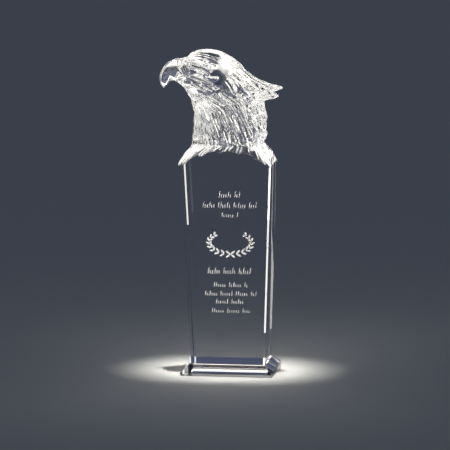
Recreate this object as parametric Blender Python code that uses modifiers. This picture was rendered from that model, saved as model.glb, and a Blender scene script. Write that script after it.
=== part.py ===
"""Crystal eagle award, in metres, +Z up.

An eagle's head and feathered neck rise out of a tapered crystal block, which is glued on a
bevelled crystal base. The beak points to -X and the flat front panel faces -Y. The origin is
the middle of the base's underside.
"""

import bmesh
import bpy
import numpy as np

# Base slab
BASE_EDGE_HEIGHT = 0.0026
BASE_SLOPE = 0.0076
BASE_ARRIS = 0.0004
FOOT_MARGIN = 0.0006
GLUE_GAP = 0.0003

# Tapered block
FOOT_WIDTH = 0.0715
SHOULDER_WIDTH = 0.0868
BLOCK_DEPTH = 0.045
BLOCK_HEIGHT = 0.1877
BLOCK_ARRIS = 0.0014
PANEL_ARCH_RISE = 0.015
PANEL_ARCH_POWER = 2.6
SIDE_ARCH_RISE = 0.003
DRIP_LENGTH = 0.0022

# Eagle, from the block's shoulder corners to the crown
EAGLE_HEIGHT = 0.108

# The eagle's ribs, drawn in millimetres from the shoulder corners at the middle of the block, for
# an eagle of DRAWN_HEIGHT. Each rib spans from the throat side to the nape side: throat x, z;
# nape x, z; half thickness; how square its section is; how far the crest stands off the nape.
DRAWN_HEIGHT = 108.0
RIBS = (
    (-32.6, 20.4, 34.2, 20.4, 21.2, 2.6, 0.0),
    (-32.2, 29.5, 36.0, 28.0, 21.0, 2.5, 0.0),
    (-31.4, 37.0, 36.8, 36.0, 20.8, 2.4, 0.0),
    (-31.2, 44.5, 36.4, 45.0, 20.6, 2.3, 0.0),
    (-31.2, 50.5, 35.0, 54.0, 20.4, 2.2, 0.0),
    (-31.5, 53.8, 34.2, 60.4, 20.3, 2.1, 0.0),
    (-32.0, 56.0, 33.9, 62.6, 20.2, 2.0, 14.0),
    (-32.5, 58.2, 33.6, 66.9, 20.1, 2.0, 10.9),
    (-33.3, 60.4, 33.0, 69.5, 20.0, 2.0, 20.6),
    (-34.4, 62.8, 31.6, 73.9, 19.9, 2.0, 11.4),
    (-35.8, 65.2, 29.0, 77.7, 19.8, 2.0, 4.6),
    (-37.4, 67.8, 25.2, 82.2, 19.6, 1.95, 0.5),
    (-39.4, 70.6, 15.3, 91.0, 19.4, 1.9, 0.0),
    (-41.6, 73.0, 5.0, 100.4, 19.2, 1.9, 0.0),
    (-43.6, 74.8, -5.8, 106.0, 18.6, 1.9, 0.0),
    (-45.4, 76.1, -16.5, 108.0, 17.6, 1.95, 0.0),
    (-46.9, 77.1, -26.5, 107.2, 15.8, 2.0, 0.0),
    (-48.2, 77.8, -33.2, 104.8, 13.6, 2.1, 0.0),
    (-49.2, 78.1, -37.4, 101.0, 11.4, 2.1, 0.0),
    (-50.2, 78.3, -43.4, 99.7, 10.4, 2.0, 0.0),
    (-51.3, 78.4, -49.4, 98.8, 9.6, 1.95, 0.0),
    (-52.5, 78.4, -56.0, 95.4, 8.6, 1.9, 0.0),
    (-53.7, 78.0, -60.9, 89.6, 7.4, 1.9, 0.0),
    (-54.9, 77.0, -63.5, 83.6, 6.0, 1.9, 0.0),
    (-56.0, 75.7, -63.9, 78.6, 4.6, 1.9, 0.0),
    (-57.3, 74.0, -62.6, 74.6, 2.8, 2.0, 0.0),
)
BEAK_TIP = (-60.0, 71.2)

# Faceting: columns on each flat of the block, rows on the shoulder and between two ribs
PANEL_COLUMNS = 22
SIDE_COLUMNS = 11
SHOULDER_ROWS = 4
ROWS_BETWEEN_RIBS = 2.35

# Where the block's corners run up into the neck, in degrees from the nape and the throat
NECK_CORNER_ANGLE = 36.0
NECK_ARRIS_ANGLE = 2.3
SHOULDER_CURVE = 1.5

# Share of the shoulder's height within which the carving starts over the flats' edge
CARVING_STEP = 0.02

# Feather locks, drawn in the eagle's millimetres
CREST_HALF_ANGLE = 0.62
CREST_POINT_TURNS = 9.0
LOCK_DEPTH = 2.6
LOCK_LENGTH = 34.0
LOCKS_PER_SIDE = 8.5
LOCK_TIP = 0.22
LOCK_BALANCE = 0.6
EDGE_BALANCE = 1.1

CRYSTAL_COLOR = (0.93, 0.96, 0.97, 1.0)


def clear_scene():
    """Removes what the default scene holds."""
    for thing in list(bpy.data.objects):
        bpy.data.objects.remove(thing, do_unlink=True)


def crystal(name):
    """Clear optical crystal, polished."""
    material = bpy.data.materials.new(name)
    material.use_nodes = True
    shader = material.node_tree.nodes["Principled BSDF"]
    shader.inputs["Base Color"].default_value = CRYSTAL_COLOR
    shader.inputs["Roughness"].default_value = 0.02
    shader.inputs["Metallic"].default_value = 0.0
    shader.inputs["IOR"].default_value = 1.52
    shader.inputs["Transmission Weight"].default_value = 1.0
    return material


def add_object(name, mesh, collection):
    """Puts a mesh in the collection as an object with a crystal of its own."""
    piece = bpy.data.objects.new(name, mesh)
    collection.objects.link(piece)
    piece.data.materials.append(crystal(name + "_crystal"))
    return piece


def ease(value, low, high):
    """0 below low, 1 above high, and a smooth S between them."""
    share = np.clip((value - low) / (high - low), 0.0, 1.0)
    return share * share * (3.0 - 2.0 * share)


def along_ribs(column, rib):
    """One column of RIBS at fractional rib numbers, on a smooth curve through the ribs."""
    knots = np.array([row[column] for row in RIBS])
    slopes = 0.8 * np.gradient(knots)
    start = np.clip(rib.astype(int), 0, len(RIBS) - 2)
    share = rib - start
    rest = 1.0 - share
    lower = knots[start] * (1.0 + 2.0 * share) + slopes[start] * share
    upper = knots[start + 1] * (1.0 + 2.0 * rest) - slopes[start + 1] * rest
    return lower * rest**2 + upper * share**2


def near_line(x, z, start, end, reach):
    """A soft ridge of height 1 along a line of the side view, fading over its reach."""
    run = np.subtract(end, start)
    share = np.clip(((x - start[0]) * run[0] + (z - start[1]) * run[1]) / (run @ run), 0.0, 1.0)
    gap = np.hypot(x - start[0] - share * run[0], z - start[1] - share * run[1])
    return np.exp(-((gap / reach) ** 2))


def locks(across, along, length):
    """Overlapping pointed locks, 0 to 1 high: each rises towards its tip and then falls away."""
    height = np.zeros(np.broadcast(across, along).shape)
    for shift in (0.0, 0.5):
        number = np.floor(across + shift)
        middle = np.abs(across + shift - number - 0.5)
        grown = np.mod(along / length + 0.618 * number + shift, 1.0)
        half = 0.5 - 0.25 * grown**3
        rise = np.minimum(grown / (1.0 - LOCK_TIP), (1.0 - grown) / LOCK_TIP)
        height = np.maximum(height, rise * np.clip(1.0 - (middle / half) ** 2, 0.0, 1.0))
    return height


def face_relief(x, z):
    """The carved face, seen from the side: brow, eye, cere, nostril, mouth and cheek."""
    brow = 2.4 * near_line(x, z, (-35.5, 98.8), (-13.5, 91.2), 2.4)
    lid = -1.6 * near_line(x, z, (-33.5, 94.0), (-15.0, 88.0), 1.8)
    eye_gap = np.hypot(x + 22.4, z - 88.6)
    socket = -2.2 * np.exp(-((eye_gap / 5.6) ** 2))
    eyeball = 2.6 * np.sqrt(np.clip(1.0 - (eye_gap / 3.6) ** 2, 0.0, 1.0))
    cere = 1.0 * near_line(x, z, (-44.1, 97.2), (-37.6, 85.2), 1.5)
    cere = cere + 1.0 * near_line(x, z, (-36.4, 97.6), (-33.0, 88.0), 1.5)
    nostril = -1.5 * near_line(x, z, (-45.6, 91.2), (-40.4, 86.6), 1.4)
    mouth = -1.7 * near_line(x, z, (-54.0, 77.5), (-36.1, 83.2), 1.3)
    mouth = mouth - 1.7 * near_line(x, z, (-36.1, 83.2), (-22.5, 77.2), 1.3)
    mouth = mouth - 1.4 * near_line(x, z, (-22.5, 77.2), (-12.0, 71.6), 1.4)
    cheek = 1.3 * near_line(x, z, (-31.5, 83.6), (-12.0, 77.2), 1.5)
    cheek = cheek + 1.2 * near_line(x, z, (-29.5, 77.8), (-17.0, 71.4), 1.5)
    return brow + lid + socket + eyeball + cere + nostril + mouth + cheek


def column_angles():
    """Angles of the columns round the body, from +X over +Y, and where they stand on the block's
    outline: the side (0 right, 1 back, 2 left, 3 front) and the place along it from -1 to 1."""
    corner = np.radians(NECK_CORNER_ANGLE)
    half_arris = np.radians(NECK_ARRIS_ANGLE) / 2
    flats = ((SIDE_COLUMNS, corner - half_arris), (PANEL_COLUMNS, np.pi / 2 - corner - half_arris))
    angle, side, place = [], [], []
    for quarter, (count, half) in enumerate(flats + flats):
        steps = np.linspace(-1.0, 1.0, count)
        angle.append(np.mod(quarter * np.pi / 2 + half * steps + np.pi, 2 * np.pi) - np.pi)
        side.append(np.full(count, quarter))
        place.append(steps)
    return np.concatenate(angle), np.concatenate(side), np.concatenate(place)


def block_ring(side, place, half_width):
    """x and y round the block where its half width is half_width: four flats with a narrow
    arris between them."""
    half_depth = BLOCK_DEPTH / 2
    along_x = (half_width - BLOCK_ARRIS) * place
    along_y = (half_depth - BLOCK_ARRIS) * place
    first_three = [side == 0, side == 1, side == 2]
    x = np.select(first_three, [half_width, -along_x, -half_width], along_x)
    y = np.select(first_three, [along_y, half_depth, -along_y], -half_depth)
    return x, y


def crease_height(angle, side, place):
    """Height of the crease over the shoulder corners, where the block's flats end in the carving:
    an arch with a long flat crest on the panels and a low one on the sides, with the tip of each
    lock hanging a little over it."""
    panel = PANEL_ARCH_RISE * (1.0 - np.abs(place) ** PANEL_ARCH_POWER)
    end = SIDE_ARCH_RISE * (1.0 - place**2)
    from_tip = np.abs(np.mod(np.abs(angle) / np.pi * LOCKS_PER_SIDE, 1.0) - 0.5)
    drip = DRIP_LENGTH * np.clip(1.0 - 3.0 * from_tip, 0.0, 1.0) * (1.0 - place**6)
    return np.where(side % 2 == 1, panel, end) - drip


def section(rib, angle):
    """Points of the smooth eagle at fractional ribs and angles, in drawn millimetres. A rib's
    section is a superellipse from its nape end at angle 0 to its throat end at half a turn. The
    crest is drawn out of it backwards, in three points side by side."""
    throat_x, throat_z, nape_x, nape_z, thick, square, reach = (along_ribs(k, rib) for k in range(7))
    round_off = (np.abs(np.cos(angle)) ** square + np.abs(np.sin(angle)) ** square) ** (1.0 / square)
    half_x, half_z = (nape_x - throat_x) / 2, (nape_z - throat_z) / 2
    points = 1.0 - 0.12 * (1.0 - np.cos(CREST_POINT_TURNS * angle))
    crest = reach * points * np.exp(-((angle / CREST_HALF_ANGLE) ** 2)) / np.hypot(half_x, half_z)
    span = np.cos(angle) / round_off + crest
    x = throat_x + half_x * (1.0 + span)
    z = throat_z + half_z * (1.0 + span)
    y = thick * np.sin(angle) / round_off
    return np.stack(np.broadcast_arrays(x, y, z), axis=-1)


def combed(angle, rib):
    """Angles turned towards the throat going up, so that columns follow the feathers."""
    turn = np.interp(rib, (0.0, 9.0, 14.0, 20.0), (-0.15, 0.82, 0.6, 0.0))
    return angle + turn * np.sin(angle)


def normals(grid):
    """Unit normals of a grid of points that closes on itself along its columns."""
    around = np.roll(grid, -1, axis=1) - np.roll(grid, 1, axis=1)
    up = np.gradient(grid, axis=0)
    normal = np.cross(around, up)
    return normal / np.maximum(np.linalg.norm(normal, axis=-1, keepdims=True), 1e-9)


def smooth_eagle(angle, side, place):
    """The eagle without its carving, as a grid in drawn millimetres, and each row's rib number:
    shoulders from the crease, rib -1, up to the collar, rib 0, and then the neck and head."""
    drawn = DRAWN_HEIGHT / EAGLE_HEIGHT
    rows = int((len(RIBS) - 1) * ROWS_BETWEEN_RIBS) + 1
    rib = np.linspace(0.0, len(RIBS) - 1.0, rows)[:, None]
    body = section(rib, combed(angle[None, :], rib))
    rise = crease_height(angle, side, place)
    crease_x, crease_y = block_ring(side, place, SHOULDER_WIDTH / 2)
    taper = (SHOULDER_WIDTH - FOOT_WIDTH) / 2 / BLOCK_HEIGHT
    crease_x = crease_x + np.sign(crease_x) * rise * taper * (side % 2 == 0)
    crease = np.stack([crease_x, crease_y, rise], axis=-1) * drawn
    climb = np.linspace(CARVING_STEP, 1.0, SHOULDER_ROWS, endpoint=False)
    climb = np.concatenate([[0.0], climb])[:, None]
    lift = np.stack([climb**SHOULDER_CURVE, climb**SHOULDER_CURVE, climb], axis=-1)
    shoulders = crease + (body[0] - crease) * lift
    return np.concatenate([shoulders, body]), np.concatenate([climb - 1.0, rib])


def eagle_relief(grid, rib, angle):
    """How far the carving stands off the smooth eagle, in drawn millimetres: locks combed from the
    face down the neck, all of them under the flats at their edge, and the face."""
    x, z = grid[..., 0], grid[..., 2]
    from_eye = np.hypot((x + 24.0) * 0.86, z - 90.0)
    plumage = ease(from_eye, 20.5, 26.0) * ease(103.0 - z, 0.0, 9.0)
    plumage = plumage * ease(rib, -1.0, CARVING_STEP - 1.0) * ease(17.0 - rib, 0.0, 1.5)
    balance = EDGE_BALANCE + (LOCK_BALANCE - EDGE_BALANCE) * ease(rib, -1.0, 1.0)
    feathers = LOCK_DEPTH * (locks(np.abs(angle) / np.pi * LOCKS_PER_SIDE, -z, LOCK_LENGTH) - balance)
    facing = np.abs(grid[..., 1]) / (1.0 + np.abs(grid[..., 1]).max(axis=1, keepdims=True))
    return plumage * feathers + face_relief(x, z) * ease(facing, 0.35, 0.8) * ease(rib, 8.0, 11.0)


def carved_eagle(angle, side, place):
    """Rings of points from the crease up to the beak, in metres about the shoulder corners."""
    smooth, rib = smooth_eagle(angle, side, place)
    relief = eagle_relief(smooth, rib, angle[None, :])
    return (smooth + normals(smooth) * relief[..., None]) * EAGLE_HEIGHT / DRAWN_HEIGHT


def loft(name, rings, tip):
    """A closed body: rings joined by quads, the first closed by one face and the last by a
    point."""
    rows, columns = rings.shape[:2]
    number = np.arange(rows * columns).reshape(rows, columns)
    after = np.roll(number, -1, axis=1)
    quads = np.stack([number[:-1], after[:-1], after[1:], number[1:]], axis=-1).reshape(-1, 4)
    top = np.full(columns, rows * columns)
    fan = np.stack([number[-1], after[-1], top], axis=-1)
    mesh = bpy.data.meshes.new(name)
    points = np.concatenate([rings.reshape(-1, 3), [tip]])
    mesh.from_pydata(points.tolist(), [], quads.tolist() + fan.tolist() + [number[0, ::-1].tolist()])
    return mesh


def make_tower(collection):
    """The eagle and its tapered block, one piece of crystal."""
    foot_height = BASE_EDGE_HEIGHT + BASE_SLOPE + GLUE_GAP
    corners = np.array([0.0, 0.0, foot_height + BLOCK_HEIGHT])
    angle, side, place = column_angles()
    foot_x, foot_y = block_ring(side, place, FOOT_WIDTH / 2)
    foot = np.stack([foot_x, foot_y, np.full(len(angle), foot_height)], axis=-1)
    upper = carved_eagle(angle, side, place) + corners
    tip = corners + np.array([BEAK_TIP[0], 0.0, BEAK_TIP[1]]) * EAGLE_HEIGHT / DRAWN_HEIGHT
    mesh = loft("eagle_tower", np.concatenate([foot[None], upper]), tip)
    return add_object("eagle_tower", mesh, collection)


def make_base(collection):
    """The slab: an upright edge, then four sloping sides up to a top that carries the block."""
    top_width = FOOT_WIDTH + 2 * FOOT_MARGIN
    top_depth = BLOCK_DEPTH + 2 * FOOT_MARGIN
    height = BASE_EDGE_HEIGHT + BASE_SLOPE
    shape = bmesh.new()
    bmesh.ops.create_cube(shape, size=1.0)
    size = (top_width + 2 * BASE_SLOPE, top_depth + 2 * BASE_SLOPE, height)
    bmesh.ops.scale(shape, vec=size, verts=shape.verts)
    bmesh.ops.translate(shape, vec=(0.0, 0.0, height / 2), verts=shape.verts)
    rim = [edge for edge in shape.edges if all(vert.co.z > height / 2 for vert in edge.verts)]
    bmesh.ops.bevel(shape, geom=rim, offset=BASE_SLOPE, segments=1, affect="EDGES")
    mesh = bpy.data.meshes.new("bevelled_base")
    shape.to_mesh(mesh)
    shape.free()
    base = add_object("bevelled_base", mesh, collection)
    arris = base.modifiers.new("Arris", "BEVEL")
    arris.width = BASE_ARRIS
    arris.segments = 1
    arris.limit_method = "ANGLE"
    return base


def main():
    clear_scene()
    collection = bpy.data.collections.new("crystal_eagle_award")
    bpy.context.scene.collection.children.link(collection)
    make_base(collection)
    make_tower(collection)


main()
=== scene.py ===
"""Crystal eagle award: the looks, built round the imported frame.

An eagle's head and feathered neck rise out of a tapered crystal block on a bevelled crystal base.
Metres, +Z up, beak towards -X, front panel towards -Y.
"""

import math

import bpy
import numpy as np
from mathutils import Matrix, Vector


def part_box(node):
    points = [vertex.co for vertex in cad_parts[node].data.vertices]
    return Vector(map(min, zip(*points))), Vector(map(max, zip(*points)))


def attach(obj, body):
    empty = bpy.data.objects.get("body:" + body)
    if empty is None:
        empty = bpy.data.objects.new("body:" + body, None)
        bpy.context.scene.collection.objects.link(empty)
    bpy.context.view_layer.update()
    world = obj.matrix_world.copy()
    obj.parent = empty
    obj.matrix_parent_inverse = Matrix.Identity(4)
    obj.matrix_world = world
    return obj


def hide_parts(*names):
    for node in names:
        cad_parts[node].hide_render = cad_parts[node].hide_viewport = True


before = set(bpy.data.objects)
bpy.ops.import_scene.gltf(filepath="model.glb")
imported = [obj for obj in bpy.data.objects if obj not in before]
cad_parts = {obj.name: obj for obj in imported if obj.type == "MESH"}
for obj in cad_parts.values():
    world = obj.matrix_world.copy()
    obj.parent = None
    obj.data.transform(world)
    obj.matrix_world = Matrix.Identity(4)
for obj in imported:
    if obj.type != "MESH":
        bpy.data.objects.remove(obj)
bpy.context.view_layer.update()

scene = bpy.context.scene
scene.view_settings.view_transform = "Standard"

# The camera stands a little to the right of the award and a little above it, with a long lens, as
# a photographer's does for a trophy. The horizon leans slightly.
AIM = Vector((-0.0037, 0.0, 0.1397))
CAMERA_AZIMUTH = math.radians(9.0)
CAMERA_ELEVATION = math.radians(10.0)
CAMERA_ROLL = math.radians(-0.76)
CAMERA_DISTANCE = 2.4
FIELD_HEIGHT = 0.4245

camera = bpy.data.objects.new("camera", bpy.data.cameras.new("camera"))
scene.collection.objects.link(camera)
scene.camera = camera
towards = Vector((
    math.sin(CAMERA_AZIMUTH) * math.cos(CAMERA_ELEVATION),
    -math.cos(CAMERA_AZIMUTH) * math.cos(CAMERA_ELEVATION),
    math.sin(CAMERA_ELEVATION),
))
camera.location = AIM + CAMERA_DISTANCE * towards
camera.rotation_euler = towards.to_track_quat("Z", "Y").to_euler()
camera.rotation_euler.rotate_axis("Z", CAMERA_ROLL)
camera.data.sensor_fit = "AUTO"
camera.data.angle = 2 * math.atan(FIELD_HEIGHT / 2 / CAMERA_DISTANCE)

# The eagle and its tapered block are one piece of optical crystal. The block's flats are ground
# and polished, and the shoulders, feathers and head keep the relief of the mould, polished too.
MM = 0.001
tower_low, tower_high = (np.array(corner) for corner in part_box("eagle_tower"))
FOOT_WIDTH = 0.0715
SHOULDER_WIDTH = 0.0868
BLOCK_DEPTH = tower_high[1] - tower_low[1]
BLOCK_HEIGHT = 0.1877
BLOCK_ARRIS = 0.0014
PANEL_ARCH_RISE = 0.015
PANEL_ARCH_POWER = 2.6
SIDE_ARCH_RISE = 0.003
DRIP_LENGTH = 0.0022
DRIP_NARROWNESS = 3.0
DRIP_CORNER_POWER = 6
SHOULDER_CURVE = 1.5
NECK_CORNER_ANGLE = 36.0
NECK_ARRIS_ANGLE = 2.3
SHARP_EDGE_ANGLE = 38.0
CRYSTAL_IOR = 1.52

# Ribs from collar to beak, in millimetres, x from the middle of the block and z from its shoulder
# corners: throat x, z; nape x, z; half thickness; how square the section is; how far the crest
# stands off the nape. The collar is rib 0, and the crease at the top of the flats is rib -1.
RIBS = np.array((
    (-32.6, 20.4, 34.2, 20.4, 21.2, 2.6, 0.0),
    (-32.2, 29.5, 36.0, 28.0, 21.0, 2.5, 0.0),
    (-31.4, 37.0, 36.8, 36.0, 20.8, 2.4, 0.0),
    (-31.2, 44.5, 36.4, 45.0, 20.6, 2.3, 0.0),
    (-31.2, 50.5, 35.0, 54.0, 20.4, 2.2, 0.0),
    (-31.5, 53.8, 34.2, 60.4, 20.3, 2.1, 0.0),
    (-32.0, 56.0, 33.9, 62.6, 20.2, 2.0, 14.0),
    (-32.5, 58.2, 33.6, 66.9, 20.1, 2.0, 10.9),
    (-33.3, 60.4, 33.0, 69.5, 20.0, 2.0, 20.6),
    (-34.4, 62.8, 31.6, 73.9, 19.9, 2.0, 11.4),
    (-35.8, 65.2, 29.0, 77.7, 19.8, 2.0, 4.6),
    (-37.4, 67.8, 25.2, 82.2, 19.6, 1.95, 0.5),
    (-39.4, 70.6, 15.3, 91.0, 19.4, 1.9, 0.0),
    (-41.6, 73.0, 5.0, 100.4, 19.2, 1.9, 0.0),
    (-43.6, 74.8, -5.8, 106.0, 18.6, 1.9, 0.0),
    (-45.4, 76.1, -16.5, 108.0, 17.6, 1.95, 0.0),
    (-46.9, 77.1, -26.5, 107.2, 15.8, 2.0, 0.0),
    (-48.2, 77.8, -33.2, 104.8, 13.6, 2.1, 0.0),
    (-49.2, 78.1, -37.4, 101.0, 11.4, 2.1, 0.0),
    (-50.2, 78.3, -43.4, 99.7, 10.4, 2.0, 0.0),
    (-51.3, 78.4, -49.4, 98.8, 9.6, 1.8, 0.0),
    (-52.5, 78.4, -56.0, 95.4, 8.6, 1.55, 0.0),
    (-53.7, 78.0, -60.9, 89.6, 7.4, 1.45, 0.0),
    (-54.9, 77.0, -63.5, 83.6, 6.0, 1.45, 0.0),
    (-56.0, 75.7, -63.9, 78.6, 4.6, 1.5, 0.0),
    (-57.3, 74.0, -62.6, 74.6, 2.8, 2.0, 0.0),
))
RIB_SLOPE_SHARE = 0.8
CREASE_RIB = -1.0
BEAK_TIP = (-60.0, 71.2)
CREST_HALF_ANGLE = 0.62
CREST_POINT_TURNS = 9.0
CREST_NOTCH = 0.12

# The feathers' lean towards the throat at some of the ribs, as a share of the angle's sine
COMBED_RIBS = (0.0, 9.0, 14.0, 20.0)
COMBED_TURNS = (-0.15, 0.82, 0.6, 0.0)

# Columns and rows of the mesh, and how narrow the rows on either side of the crease are
PANEL_COLUMNS = 136
SIDE_COLUMNS = 74
SHOULDER_ROWS = 22
ROWS_BETWEEN_RIBS = 8
CARVING_STEP = 0.02
CREASE_STRIP = 0.0005

# The collar's corner is softened within this many ribs of it, in this many rounds
COLLAR_REACH = 0.6
COLLAR_ROUNDS = 10


def ease(value, start, end):
    """0 at the start and 1 at the end, which may be the lower of the two: 3s^2 - 2s^3 of the share
    s of the way between them."""
    share = np.clip((value - start) / (end - start), 0.0, 1.0)
    return share * share * (3.0 - 2.0 * share)


def along_ribs(column, rib):
    """One column of RIBS at fractional rib numbers: cubic Hermite pieces through the ribs, with
    each rib's slope a share of half the difference between its two neighbours."""
    knots = RIBS[:, column]
    slopes = RIB_SLOPE_SHARE * np.gradient(knots)
    start = np.clip(rib.astype(int), 0, len(RIBS) - 2)
    share = rib - start
    rest = 1.0 - share
    lower = knots[start] * (1.0 + 2.0 * share) + slopes[start] * share
    upper = knots[start + 1] * (1.0 + 2.0 * rest) - slopes[start + 1] * rest
    return lower * rest**2 + upper * share**2


def section(rib, angle):
    """Rib sections: x and z run along the rib by cos(a)/r and y across it by sin(a)/r, where r is
    (|cos a|^n + |sin a|^n)^(1/n); the crest adds a bell of the angle to the run along the rib,
    notched into points by a cosine."""
    columns = (along_ribs(column, rib) for column in range(RIBS.shape[1]))
    throat_x, throat_z, nape_x, nape_z, thick, square, reach = columns
    round_off = (np.abs(np.cos(angle)) ** square + np.abs(np.sin(angle)) ** square) ** (1.0 / square)
    half_x, half_z = (nape_x - throat_x) / 2, (nape_z - throat_z) / 2
    points = 1.0 - CREST_NOTCH * (1.0 - np.cos(CREST_POINT_TURNS * angle))
    crest = reach * points * np.exp(-((angle / CREST_HALF_ANGLE) ** 2)) / np.hypot(half_x, half_z)
    span = np.cos(angle) / round_off + crest
    x = throat_x + half_x * (1.0 + span)
    z = throat_z + half_z * (1.0 + span)
    y = thick * np.sin(angle) / round_off
    return np.stack(np.broadcast_arrays(x, y, z), axis=-1)


def combed(angle, rib):
    """Angles turned towards the throat by a share of their own sine, which grows up the neck and
    fades over the head, so that the grid's columns run as the feathers do."""
    return angle + np.interp(rib, COMBED_RIBS, COMBED_TURNS) * np.sin(angle)


def normals(grid):
    """Unit normals: the cross product of the steps round and up the grid."""
    around = np.roll(grid, -1, axis=1) - np.roll(grid, 1, axis=1)
    normal = np.cross(around, np.gradient(grid, axis=0))
    return normal / np.maximum(np.linalg.norm(normal, axis=-1, keepdims=True), 1e-9)


def softened(grid, rib):
    """The collar's corner rounded: rows within COLLAR_REACH of rib 0 move up to half way to the
    mean of their neighbours, time and again."""
    share = 0.5 * np.clip(1.0 - (rib / COLLAR_REACH) ** 2, 0.0, 1.0)[..., None]
    for _ in range(COLLAR_ROUNDS):
        mean = (np.roll(grid, 1, axis=0) + np.roll(grid, -1, axis=0)) / 2
        grid = grid + share * (mean - grid)
    return grid


# Feather locks, in millimetres. The balance is the height on a lock, as a share of its depth, that
# stays on the smooth form. At the crease it is higher, so that the carving starts with a step in
# from the flats, a smaller one at the block's sides.
LOCK_DEPTH = 2.6
LOCK_LENGTH = 34.0
LOCKS_PER_SIDE = 8.5
LOCK_TIP = 0.22
LOCK_TAPER = 0.25
LOCK_STAGGER = 0.618
LOCK_BALANCE = 0.6
EDGE_BALANCE = 1.1
SIDE_FULLNESS = 0.45

# Barbs on the locks, with lengths in millimetres: each fades in and out by two sines, given as the
# length of a radian and the shift from one barb to the next.
STRANDS_PER_SIDE = 29
STRAND_START = 0.25
STRAND_DEPTH = 0.85
STRAND_LEVEL = 0.6
STRAND_WANDER = 0.3
STRAND_WANDER_TURN = 0.9
STRAND_WANDER_LENGTH = 8.0
STRAND_FADE = 0.3
STRAND_FADES = ((5.0, 2.4), (11.0, 1.3))

# Soft lumps on the nape, in millimetres, and the three mixes of two values whose sines make the
# lumps and the barbs wander
LUMP_DEPTH = 1.1
LUMP_LENGTHS = (1.9, 2.2)
WAVER_MIXES = ((1.9, 0.7, 0.0), (0.83, -1.31, 2.1), (2.7, 1.9, 0.0))

# Ridges and grooves of the face in the side view, in millimetres on the ribs' axes: height, start
# x and z, end x and z, and how far each reaches from its line
FACE_LINES = {
    "brow": (2.4, (-35.5, 98.8), (-13.5, 91.2), 2.2),
    "lid": (-1.6, (-33.5, 94.0), (-15.0, 88.0), 1.6),
    "front of the cere": (1.0, (-44.1, 97.2), (-37.6, 85.2), 1.1),
    "back of the cere": (1.0, (-36.4, 97.6), (-33.0, 88.0), 1.1),
    "nostril": (-1.5, (-45.6, 91.2), (-40.4, 86.6), 1.0),
    "mouth in the beak": (-1.7, (-54.0, 77.5), (-36.1, 83.2), 0.9),
    "mouth under the eye": (-1.7, (-36.1, 83.2), (-22.5, 77.2), 0.9),
    "mouth's end": (-1.4, (-22.5, 77.2), (-12.0, 71.6), 1.0),
    "upper cheek": (1.3, (-31.5, 83.6), (-12.0, 77.2), 1.1),
    "lower cheek": (1.2, (-29.5, 77.8), (-17.0, 71.4), 1.1),
}
EYE = (-22.4, 88.6)
SOCKET_DEPTH = 2.2
SOCKET_REACH = 5.6
EYEBALL_HEIGHT = 2.6
EYEBALL_RADIUS = 3.3
PUPIL_DEPTH = 0.6
PUPIL_REACH = 1.0

# Where the carving starts and where it is full, in millimetres or ribs, and for the face's sides as
# a share of the half thickness. The plumage leaves an oval round the face bare.
FACE_MIDDLE = (-24.0, 90.0)
FACE_SQUEEZE = 0.86
FACE_RIBS = (8.0, 11.0)
FACE_SIDES = (0.35, 0.8)
PLUMAGE_ROUND_FACE = (20.5, 26.0)
PLUMAGE_TOP = (103.0, 94.0)
PLUMAGE_LAST_RIBS = (17.0, 15.5)
CROWN_SHARE = 0.4
CROWN_HEIGHTS = (94.0, 100.0)
CROWN_LAST_RIBS = (17.5, 15.5)
BALANCE_RIBS = (CREASE_RIB, 1.0)
SHOULDER_ENDS = (35.0, 41.0)
LUMPS_BEHIND = (16.0, 27.0)
LUMPS_FOOT = (18.0, 24.0)
LUMPS_TOP = (64.0, 56.0)


def waver(u, v):
    """A wandering value between -1 and 1: the mean of the sines of three mixes of u and v."""
    return sum(np.sin(a * u + b * v + c) for a, b, c in WAVER_MIXES) / len(WAVER_MIXES)


def locks(across, along, length):
    """Two staggered families of leaf-shaped locks, the higher of them at each point: parabolas
    across, narrowing towards the tip, times a height that rises along the lock and falls off."""
    height = np.zeros(np.broadcast(across, along).shape)
    for shift in (0.0, 0.5):
        number = np.floor(across + shift)
        middle = np.abs(across + shift - number - 0.5)
        grown = np.mod(along / length + LOCK_STAGGER * number + shift, 1.0)
        half = 0.5 - LOCK_TAPER * grown**3
        rise = np.minimum(grown / (1.0 - LOCK_TIP), (1.0 - grown) / LOCK_TIP)
        height = np.maximum(height, rise * np.clip(1.0 - (middle / half) ** 2, 0.0, 1.0))
    return height


def strands(across, along):
    """Barbs of the feathers: round ridges with sharp valleys, the sine of half a turn across each,
    whose lines wander a little, times a strength that comes and goes along each barb."""
    wander = waver(STRAND_WANDER_TURN * across, along / STRAND_WANDER_LENGTH)
    wandering = across + STRAND_WANDER * wander
    number = np.floor(wandering)
    ridge = np.sin(np.pi * (wandering - number))
    quick, slow = (np.sin(along / length + shift * number) for length, shift in STRAND_FADES)
    strength = 1.0 - STRAND_FADE + STRAND_FADE * quick * slow
    return (ridge - STRAND_LEVEL) * strength


def near_line(x, z, start, end, reach):
    """exp(-(d/reach)^2) of the distance d to a line of the side view."""
    run = np.subtract(end, start)
    share = np.clip(((x - start[0]) * run[0] + (z - start[1]) * run[1]) / (run @ run), 0.0, 1.0)
    gap = np.hypot(x - start[0] - share * run[0], z - start[1] - share * run[1])
    return np.exp(-((gap / reach) ** 2))


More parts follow.
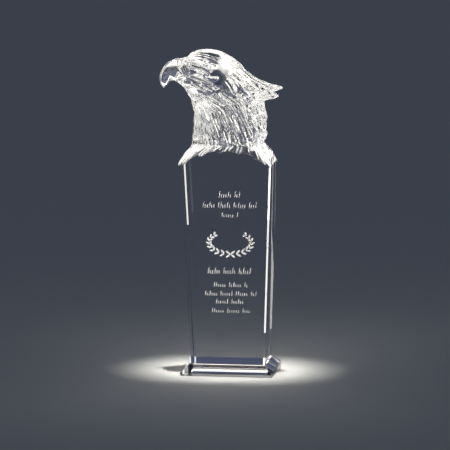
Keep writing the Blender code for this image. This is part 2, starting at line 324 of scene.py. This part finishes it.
def face_relief(x, z):
    """The carved face, seen from the side: a soft ridge or groove along each of its lines, and the
    eye, where half a ball with a soft dent for the pupil stands in a soft dent for the socket."""
    lines = FACE_LINES.values()
    carved = sum(height * near_line(x, z, start, end, reach) for height, start, end, reach in lines)
    eye_gap = np.hypot(x - EYE[0], z - EYE[1])
    socket = SOCKET_DEPTH * np.exp(-((eye_gap / SOCKET_REACH) ** 2))
    eyeball = EYEBALL_HEIGHT * np.sqrt(np.clip(1.0 - (eye_gap / EYEBALL_RADIUS) ** 2, 0.0, 1.0))
    pupil = PUPIL_DEPTH * np.exp(-((eye_gap / PUPIL_REACH) ** 2))
    return carved - socket + eyeball - pupil


def eagle_relief(grid, rib, angle):
    """Height of the carving over the smooth eagle, in millimetres: locks with strands on them,
    combed from the face down the neck and back along the crest, fainter strands on the crown, the
    face, and lumps on the nape."""
    x, z = grid[..., 0], grid[..., 2]
    turns = np.abs(angle) / np.pi
    from_face = np.hypot((x - FACE_MIDDLE[0]) * FACE_SQUEEZE, z - FACE_MIDDLE[1])
    plumage = ease(from_face, *PLUMAGE_ROUND_FACE) * ease(z, *PLUMAGE_TOP)
    plumage = plumage * ease(rib, CREASE_RIB, CREASE_RIB + CARVING_STEP) * ease(rib, *PLUMAGE_LAST_RIBS)
    edge = EDGE_BALANCE - SIDE_FULLNESS * ease(np.abs(x), *SHOULDER_ENDS)
    balance = edge + (LOCK_BALANCE - edge) * ease(rib, *BALANCE_RIBS)
    feathers = LOCK_DEPTH * (locks(turns * LOCKS_PER_SIDE, -z, LOCK_LENGTH) - balance)
    barbs = STRAND_DEPTH * strands(turns * STRANDS_PER_SIDE + STRAND_START, -z)
    crown = CROWN_SHARE * ease(z, *CROWN_HEIGHTS) * ease(rib, *CROWN_LAST_RIBS)
    lumps = LUMP_DEPTH * waver(x / LUMP_LENGTHS[0], z / LUMP_LENGTHS[1])
    lumps = lumps * ease(x, *LUMPS_BEHIND) * ease(z, *LUMPS_TOP) * ease(z, *LUMPS_FOOT)
    across = np.abs(grid[..., 1])
    facing = across / (1.0 + across.max(axis=1, keepdims=True))
    face = face_relief(x, z) * ease(facing, *FACE_SIDES) * ease(rib, *FACE_RIBS)
    return plumage * feathers + np.maximum(plumage, crown) * barbs + face + lumps


def block_ring(side, place, half_width):
    """Four flats run through by place, -1 to 1, with a narrow arris between them."""
    half_depth = BLOCK_DEPTH / 2
    along_x = (half_width - BLOCK_ARRIS) * place
    along_y = (half_depth - BLOCK_ARRIS) * place
    first_three = [side == 0, side == 1, side == 2]
    x = np.select(first_three, [half_width, -along_x, -half_width], along_x)
    y = np.select(first_three, [along_y, half_depth, -along_y], -half_depth)
    return x, y


def column_places():
    """Angle round the body, side of the block (0 right, 1 back, 2 left, 3 front) and place along
    that side from -1 to 1, for each column of the grid, counter-clockwise from the right."""
    corner = math.radians(NECK_CORNER_ANGLE)
    half_arris = math.radians(NECK_ARRIS_ANGLE) / 2
    flats = ((SIDE_COLUMNS, corner - half_arris), (PANEL_COLUMNS, math.pi / 2 - corner - half_arris))
    angle, side, place = [], [], []
    for quarter, (count, half) in enumerate(flats + flats):
        steps = np.linspace(-1.0, 1.0, count)
        angle.append(np.mod(quarter * np.pi / 2 + half * steps + np.pi, 2 * np.pi) - np.pi)
        side.append(np.full(count, quarter))
        place.append(steps)
    return np.concatenate(angle), np.concatenate(side), np.concatenate(place)


def crease_ring(angle, side, place):
    """The top edge of the flats: an arch over each side by a power of the place along it, with a
    drip hanging from it in the middle of every lock, and the right and left flats' lean kept."""
    panel_rise = PANEL_ARCH_RISE * (1.0 - np.abs(place) ** PANEL_ARCH_POWER)
    rise = np.where(side % 2 == 1, panel_rise, SIDE_ARCH_RISE * (1.0 - place**2))
    from_middle = np.abs(np.mod(np.abs(angle) / np.pi * LOCKS_PER_SIDE, 1.0) - 0.5)
    drip = np.clip(1.0 - DRIP_NARROWNESS * from_middle, 0.0, 1.0)
    rise = rise - DRIP_LENGTH * drip * (1.0 - place**DRIP_CORNER_POWER)
    x, y = block_ring(side, place, SHOULDER_WIDTH / 2)
    taper = (SHOULDER_WIDTH - FOOT_WIDTH) / 2 / BLOCK_HEIGHT
    x = x + np.sign(x) * rise * taper * (side % 2 == 0)
    return np.stack([x, y, rise], axis=-1)


def tower_grid(shoulder_level):
    """Rings from the block's foot up to the beak: the flats reach the arched crease, with a narrow
    strip below it that its soft edge takes, the shoulders curve in by a power of the climb, and the
    carved ribs follow."""
    angle, side, place = column_places()
    foot_x, foot_y = block_ring(side, place, FOOT_WIDTH / 2)
    foot = np.stack([foot_x, foot_y, np.full(len(angle), tower_low[2])], axis=-1)
    rib = np.linspace(0.0, len(RIBS) - 1.0, (len(RIBS) - 1) * ROWS_BETWEEN_RIBS + 1)[:, None]
    body = section(rib, combed(angle[None, :], rib))
    crease = crease_ring(angle, side, place) / MM
    climb = np.linspace(CARVING_STEP, 1.0, SHOULDER_ROWS, endpoint=False)
    climb = np.concatenate([[0.0], climb])[:, None]
    lift = np.stack([climb**SHOULDER_CURVE, climb**SHOULDER_CURVE, climb], axis=-1)
    smooth = np.concatenate([crease + (body[0] - crease) * lift, body])
    rib = np.concatenate([climb + CREASE_RIB, rib])
    smooth = softened(smooth, rib)
    carved = smooth + normals(smooth) * eagle_relief(smooth, rib, angle[None, :])[..., None]
    carved = carved * MM + shoulder_level
    below_crease = carved[0] + (foot - carved[0]) * CREASE_STRIP / BLOCK_HEIGHT
    return np.concatenate([foot[None], below_crease[None], carved])


def closed_mesh(name, rings, tip):
    """Quads between the rings, one face under the first and a fan of triangles to the tip."""
    rows, columns = rings.shape[:2]
    number = np.arange(rows * columns).reshape(rows, columns)
    after = np.roll(number, -1, axis=1)
    quads = np.stack([number[:-1], after[:-1], after[1:], number[1:]], axis=-1).reshape(-1, 4)
    fan = np.stack([number[-1], after[-1], np.full(columns, rows * columns)], axis=-1)
    mesh = bpy.data.meshes.new(name)
    points = np.concatenate([rings.reshape(-1, 3), [tip]])
    mesh.from_pydata(points.tolist(), [], quads.tolist() + fan.tolist() + [number[0, ::-1].tolist()])
    return mesh


def crystal(name):
    """Polished optical crystal: clear, colourless and perfectly smooth."""
    material = bpy.data.materials.new(name)
    material.use_nodes = True
    shader = material.node_tree.nodes["Principled BSDF"]
    shader.inputs["Base Color"].default_value = (1.0, 1.0, 1.0, 1.0)
    shader.inputs["Roughness"].default_value = 0.0
    shader.inputs["IOR"].default_value = CRYSTAL_IOR
    shader.inputs["Transmission Weight"].default_value = 1.0
    return material


shoulder_level = np.array([0.0, 0.0, tower_low[2] + BLOCK_HEIGHT])
rings = np.clip(tower_grid(shoulder_level), tower_low, tower_high)
tip = shoulder_level + np.array([BEAK_TIP[0], 0.0, BEAK_TIP[1]]) * MM
tower_mesh = closed_mesh("eagle_and_block", rings, tip)
tower_mesh.shade_smooth()
tower_mesh.set_sharp_from_angle(angle=math.radians(SHARP_EDGE_ANGLE))
tower = bpy.data.objects.new("eagle_and_block", tower_mesh)
scene.collection.objects.link(tower)
tower_mesh.materials.append(crystal("tower_crystal"))
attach(tower, "root")
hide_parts("eagle_tower")

# The engraving is cut a few hundredths of a millimetre into the back of the block and left frosted,
# so that it reads through the front: rows of slanted strokes, and a laurel wreath between them.
# Here each stroke and each leaf is a thin frosted plate, a hair behind the polished back.
STROKE_PITCH = 2.1 * MM
STROKE_HALF_WIDTH = 0.34 * MM
STROKE_SLANT = 0.32
STROKE_BOW = 0.35 * MM
STROKE_POINTS = 9
STROKE_END_POWER = 0.6
STROKES_PER_GROUP = 7
SHORT_STROKE_SHARE = 0.6
TALL_STROKE_TURN = 2.4
TALL_STROKE_LEVEL = 0.75
ENGRAVED_GAP = 0.02 * MM
ENGRAVED_DEPTH = 0.10 * MM

# Each row's height over the table, its length and its strokes' height, in millimetres
ENGRAVED_ROWS = (
    (167.8, 19.0, 6.4),
    (157.8, 51.0, 6.4),
    (148.3, 16.0, 5.6),
    (94.6, 43.5, 7.2),
    (81.2, 32.0, 5.6),
    (72.7, 49.0, 5.6),
    (65.0, 28.5, 5.6),
    (56.1, 37.5, 5.6),
)
WREATH_MIDDLE = 121.5 * MM
WREATH_HALF_WIDTH = 20.0 * MM
WREATH_HALF_HEIGHT = 11.0 * MM
WREATH_OPENING = 0.9
LEAVES_PER_BRANCH = 9
LEAF_LENGTH = 5.6 * MM
LEAF_HALF_WIDTH = 0.95 * MM
LEAF_LEAN = 0.62
LEAF_SHORTENING = 0.3


def pen_line(length, half_width, bow):
    """Outline of one stroke, up one side and down the other: its width a power of a half sine, and
    its middle bent by a full sine."""
    share = np.linspace(0.0, 1.0, STROKE_POINTS)
    middle = bow * np.sin(2 * np.pi * share)
    half = half_width * np.sin(np.pi * share) ** STROKE_END_POWER
    along = length * (share - 0.5)
    up = np.stack([middle - half, along], axis=-1)
    down = np.stack([middle + half, along], axis=-1)[-2:0:-1]
    return np.concatenate([up, down])


def stroke_row(height, length, tall):
    """Slanted strokes side by side, with a gap after each group: the first of a group full height,
    the rest a share of it, and a few between them tall again by a sine of their number."""
    count = int(length * MM / STROKE_PITCH) + 1
    number = np.arange(count)
    in_group = number % STROKES_PER_GROUP
    is_tall = (in_group == 0) | (np.sin(TALL_STROKE_TURN * number + height) > TALL_STROKE_LEVEL)
    share = np.where(is_tall, 1.0, SHORT_STROKE_SHARE)[:, None]
    stroke = pen_line(tall * MM, STROKE_HALF_WIDTH, STROKE_BOW)[None]
    z = stroke[..., 1] * share + tall * MM * (share - 1.0) / 2
    x = stroke[..., 0] + STROKE_SLANT * z
    x = x + ((number - (count - 1) / 2) * STROKE_PITCH)[:, None]
    return np.stack([x, z + height * MM], axis=-1)[in_group < STROKES_PER_GROUP - 1]


def laurel_branch(side):
    """Leaves in pairs along half an ellipse, from its foot up to an opening at the top: each starts
    on the ellipse and leans out or in from its tangent, and they shorten towards the tip."""
    share = np.repeat(np.linspace(0.0, 1.0, LEAVES_PER_BRANCH), 2)[:, None]
    turn = share * (np.pi - WREATH_OPENING) - np.pi / 2
    heading = np.arctan2(WREATH_HALF_HEIGHT * np.cos(turn), -WREATH_HALF_WIDTH * np.sin(turn))
    heading = heading + np.tile((-LEAF_LEAN, LEAF_LEAN), LEAVES_PER_BRANCH)[:, None]
    leaf = pen_line(LEAF_LENGTH, LEAF_HALF_WIDTH, 0.0)
    out = (leaf[:, 1] + LEAF_LENGTH / 2) * (1.0 - LEAF_SHORTENING * share)
    x = WREATH_HALF_WIDTH * np.cos(turn) + out * np.cos(heading) - leaf[:, 0] * np.sin(heading)
    z = WREATH_HALF_HEIGHT * np.sin(turn) + out * np.sin(heading) + leaf[:, 0] * np.cos(heading)
    outline = np.stack([side * x, z + WREATH_MIDDLE], axis=-1)
    return outline if side < 0 else outline[:, ::-1]


def slabs(name, outlines, front, back):
    """Thin closed plates: each outline of x and z drawn at two depths, with walls between."""
    plates, corners = outlines.shape[:2]
    points = np.stack([np.insert(outlines, 1, depth, axis=-1) for depth in (front, back)], axis=1)
    number = np.arange(plates * 2 * corners).reshape(plates, 2, corners)
    after = np.roll(number, -1, axis=2)
    walls = np.stack([number[:, 0], number[:, 1], after[:, 1], after[:, 0]], axis=-1).reshape(-1, 4)
    faces = walls.tolist() + number[:, 0].tolist() + number[:, 1, ::-1].tolist()
    mesh = bpy.data.meshes.new(name)
    mesh.from_pydata(points.reshape(-1, 3).tolist(), [], faces)
    return mesh


def frosted(name):
    """Crystal left matt by the engraver's grit: it lets light through but scatters it all."""
    material = crystal(name)
    material.node_tree.nodes["Principled BSDF"].inputs["Roughness"].default_value = 1.0
    return material


outlines = [stroke_row(*row) for row in ENGRAVED_ROWS] + [laurel_branch(side) for side in (-1, 1)]
panel_back = BLOCK_DEPTH / 2 + ENGRAVED_GAP
engraving_mesh = slabs("engraving", np.concatenate(outlines), panel_back, panel_back + ENGRAVED_DEPTH)
engraving = bpy.data.objects.new("engraving", engraving_mesh)
scene.collection.objects.link(engraving)
engraving_mesh.materials.append(frosted("frosted_crystal"))
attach(engraving, "root")

# The base is a slab of the same crystal with four sloping sides, cut and polished flat, and the
# block is glued in the middle of it.
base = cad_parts["bevelled_base"]
base.data.materials.clear()
base.data.materials.append(crystal("base_crystal"))

# The floor is a plain pale table top. A dark sheet of painted shade lies flat under the base, where the
# base's shadow falls, and keeps the table's own paleness out of its sloping sides. Each lies a hair lower
# than what stands on it.
FLOOR_RADIUS = 6.0
FLOOR_CORNERS = 96
FLOOR_DROP = 0.0002
FLOOR_COLOR = (0.80, 0.80, 0.79, 1.0)
SHADE_SHEET_INSET = 0.001
PAINTED_SHADE_COLOR = (0.02, 0.024, 0.05, 1.0)


def table_sheet(name, outline, height, color):
    """A flat matt sheet of the stage: an outline of x and y, counter-clockwise, at one height."""
    mesh = bpy.data.meshes.new(name)
    mesh.from_pydata(np.insert(outline, 2, height, axis=1).tolist(), [], [list(range(len(outline)))])
    material = bpy.data.materials.new(name)
    material.use_nodes = True
    shader = material.node_tree.nodes["Principled BSDF"]
    shader.inputs["Base Color"].default_value = color
    shader.inputs["Specular IOR Level"].default_value = 0.0
    mesh.materials.append(material)
    sheet = bpy.data.objects.new(name, mesh)
    scene.collection.objects.link(sheet)


turn = np.linspace(0.0, 2 * np.pi, FLOOR_CORNERS, endpoint=False)
floor_ring = FLOOR_RADIUS * np.stack([np.cos(turn), np.sin(turn)], axis=-1)
table_sheet("floor", floor_ring, -FLOOR_DROP, FLOOR_COLOR)
base_high = np.array(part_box("bevelled_base")[1])
# Painted shade: a dark sheet just inside the base's footprint, standing in for the shadow under it
shade_sheet_signs = np.array(((-1.0, -1.0), (1.0, -1.0), (1.0, 1.0), (-1.0, 1.0)))
shade_sheet_corners = shade_sheet_signs * (base_high[:2] - SHADE_SHEET_INSET)
table_sheet("painted_shade_under_base", shade_sheet_corners, -FLOOR_DROP / 2, PAINTED_SHADE_COLOR)

# The studio is a dome, bright between its dusky foot and its dusky top: each height is the sine of
# the angle over the horizon. Crystal shows it, and the table only gets the room's own dim light.
DUSK_COLOR = (0.036, 0.043, 0.072, 1.0)
DOME_COLOR = (1.0, 0.97, 0.90, 1.0)
DOME_HEIGHTS = ((0.39, DUSK_COLOR), (0.50, DOME_COLOR), (0.86, DOME_COLOR), (0.94, DUSK_COLOR))
DOME_STRENGTH = 1.8
ROOM_STRENGTH = 0.27
ROOM_ANGLE = 60.0
ROOM_COLOR = (0.62, 0.74, 1.0)

world = bpy.data.worlds.new("studio")
world.use_nodes = True
nodes, links = world.node_tree.nodes, world.node_tree.links
direction = nodes.new("ShaderNodeTexCoord")
split = nodes.new("ShaderNodeSeparateXYZ")
links.new(direction.outputs["Generated"], split.inputs[0])
ramp = nodes.new("ShaderNodeValToRGB")
ramp.color_ramp.interpolation = "EASE"
stops = ramp.color_ramp.elements
for height, color in DOME_HEIGHTS:
    stops.new(height).color = color

# The two stops that a new ramp comes with, at its ends, aren't needed
stops.remove(stops[-1])
stops.remove(stops[0])
links.new(split.outputs["Z"], ramp.inputs["Fac"])
links.new(ramp.outputs["Color"], nodes["Background"].inputs["Color"])
nodes["Background"].inputs["Strength"].default_value = DOME_STRENGTH
world.cycles_visibility.diffuse = False
scene.world = world

room_light = bpy.data.lights.new("room", "SUN")
room_light.energy = ROOM_STRENGTH
room_light.angle = math.radians(ROOM_ANGLE)
room_light.color = ROOM_COLOR
room = bpy.data.objects.new("room", room_light)
scene.collection.objects.link(room)
room.visible_glossy = False
room.visible_transmission = False

# Softboxes stand round the award, four tall ones and a small one low at the back, clear of the
# views straight through the block, off its front and along its sides. Each has its azimuth from
# the front towards the right, its distance, its middle's height, its width and its own height.
LIGHT_COLOR = (1.0, 0.97, 0.9)
AWARD_MIDDLE = Vector((0.0, 0.0, 0.15))
SOFTBOX_GLOW = 1.1
SOFTBOX_SPREAD = 180.0
SOFTBOXES = (
    ("front_right", 48.0, 0.8, 0.40, 0.90, 1.0),
    ("back_right", 151.0, 0.8, 0.40, 0.34, 1.0),
    ("back_left", 217.0, 0.8, 0.40, 0.34, 1.0),
    ("front_left", 317.0, 0.8, 0.40, 0.80, 1.0),
    ("low_left", 215.0, 0.19, 0.10, 0.07, 0.2),
)


def area_light(name, place, facing, size, power, spread):
    """A rectangular area light that shines towards facing, seen only in and through the crystal."""
    light = bpy.data.lights.new(name, "AREA")
    light.shape = "RECTANGLE"
    light.size, light.size_y = size
    light.energy = power
    light.spread = math.radians(spread)
    light.color = LIGHT_COLOR
    lamp = bpy.data.objects.new(name, light)
    scene.collection.objects.link(lamp)
    lamp.location = place
    lamp.rotation_euler = (-facing).to_track_quat("Z", "Y").to_euler()
    lamp.visible_camera = False
    lamp.visible_diffuse = False
    return lamp


for name, azimuth, distance, height, width, tall in SOFTBOXES:
    turned = math.radians(azimuth)
    place = Vector((math.sin(turned) * distance, -math.cos(turned) * distance, height))
    power = SOFTBOX_GLOW * math.pi * width * tall
    area_light(name, place, AWARD_MIDDLE - place, (width, tall), power, SOFTBOX_SPREAD)

# The table glows upwards all round the base, but not along itself, so that only what the crystal
# bends steeply down turns bright. Four rectangles lie like a pinwheel round a square hole.
TABLE_REACH = 0.8
TABLE_HOLE = 0.075
TABLE_POWER = 2.6
TABLE_SPREAD = 150.0

along, across = (TABLE_REACH - TABLE_HOLE) / 2, (TABLE_REACH + TABLE_HOLE) / 2
for quarter in range(4):
    turned = math.radians(90.0 * quarter)
    place = Vector((0.0, 0.0, -FLOOR_DROP / 2))
    place.x = math.cos(turned) * along - math.sin(turned) * across
    place.y = math.sin(turned) * along + math.cos(turned) * across
    size = (TABLE_REACH + TABLE_HOLE, TABLE_REACH - TABLE_HOLE)
    lamp = area_light(f"table_{quarter}", place, Vector((0.0, 0.0, 1.0)), size, TABLE_POWER, TABLE_SPREAD)
    lamp.rotation_euler.z = turned

# A pool of light falls on the table from straight above the award, out of a lamp with a narrow
# beam that doesn't show in the crystal.
POOL_PLACE = Vector((-0.002, 0.0, 1.6))
POOL_SIZE = (0.12, 0.015)
POOL_POWER = 0.055
POOL_SPREAD = 4.6

pool = area_light("pool", POOL_PLACE, Vector((0.0, 0.0, -1.0)), POOL_SIZE, POOL_POWER, POOL_SPREAD)
pool.visible_diffuse = True
pool.visible_glossy = False
pool.visible_transmission = False
